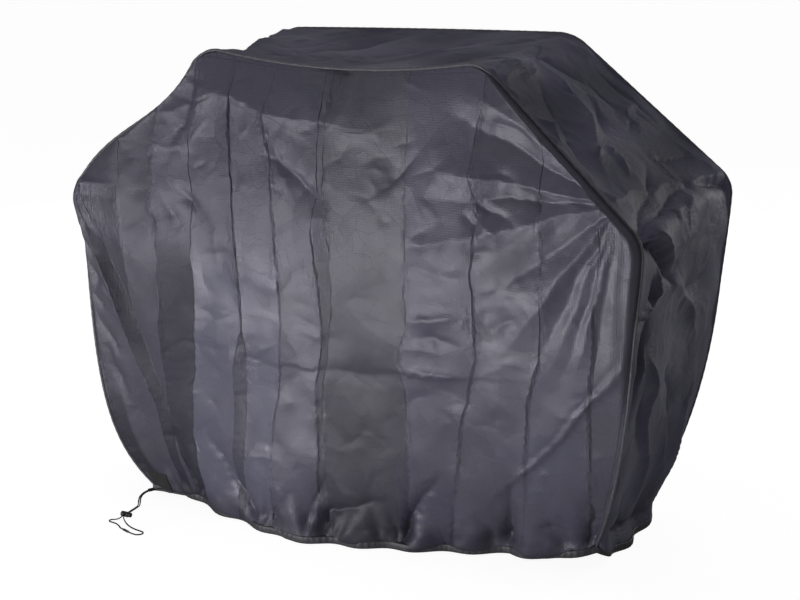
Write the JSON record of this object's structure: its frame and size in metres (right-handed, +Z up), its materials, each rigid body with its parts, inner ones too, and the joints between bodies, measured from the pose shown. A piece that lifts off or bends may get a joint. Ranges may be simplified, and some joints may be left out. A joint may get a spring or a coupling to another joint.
{
  "type": "grill cover",
  "caption": "Dark grey cloth grill cover with sloping shoulders, corded seams and a gathered drawcord hem that ends in a loop with a sprung cord lock.",
  "frame": {"origin": "on the floor, under the middle of the cover's box, free cord left out", "axes": "+X to the right seen from the front, +Y from front to back, +Z up"},
  "size_m": [1.5155, 0.7844, 1.2035],
  "materials": {
    "cover_cloth": "coated ripstop cloth, semi-gloss, creased",
    "gusset_cloth": "coated ripstop cloth, semi-gloss, creased",
    "seam_cloth": "cloth-covered cord",
    "hem_cloth": "gathered coated cloth",
    "cord": "braided black cord",
    "webbing": "woven black tape",
    "lock_plastic": "moulded black plastic",
    "spring_steel": "plain spring wire"
  },
  "bodies": {
    "cover": {"front_panel": "cover_cloth", "back_panel": "cover_cloth", "gusset_panel": "gusset_cloth", "front_piping": "seam_cloth", "back_piping": "seam_cloth", "front_hem": "hem_cloth", "right_hem": "hem_cloth", "back_hem": "hem_cloth", "left_hem": "hem_cloth", "hem_drawcord": "cord", "cord_outlet": "webbing", "cord_tail": "cord", "cord_joiner": "lock_plastic"},
    "lock": {"lock_barrel": "lock_plastic", "lock_spring": "spring_steel"},
    "plunger": {"lock_plunger": "lock_plastic"}
  },
  "joints": [
    {"name": "lock_slide", "type": "slide", "parent": "cover", "child": "lock", "axis": [0, 1, 0], "range_m": [0, 0.04]},
    {"name": "plunger_press", "type": "slide", "parent": "lock", "child": "plunger", "axis": [-1, 0, 0], "range_m": [0, 0.0035], "stiffness_N_per_m": 600, "springref_m": -0.004, "deforming": ["lock_spring"]}
  ]
}
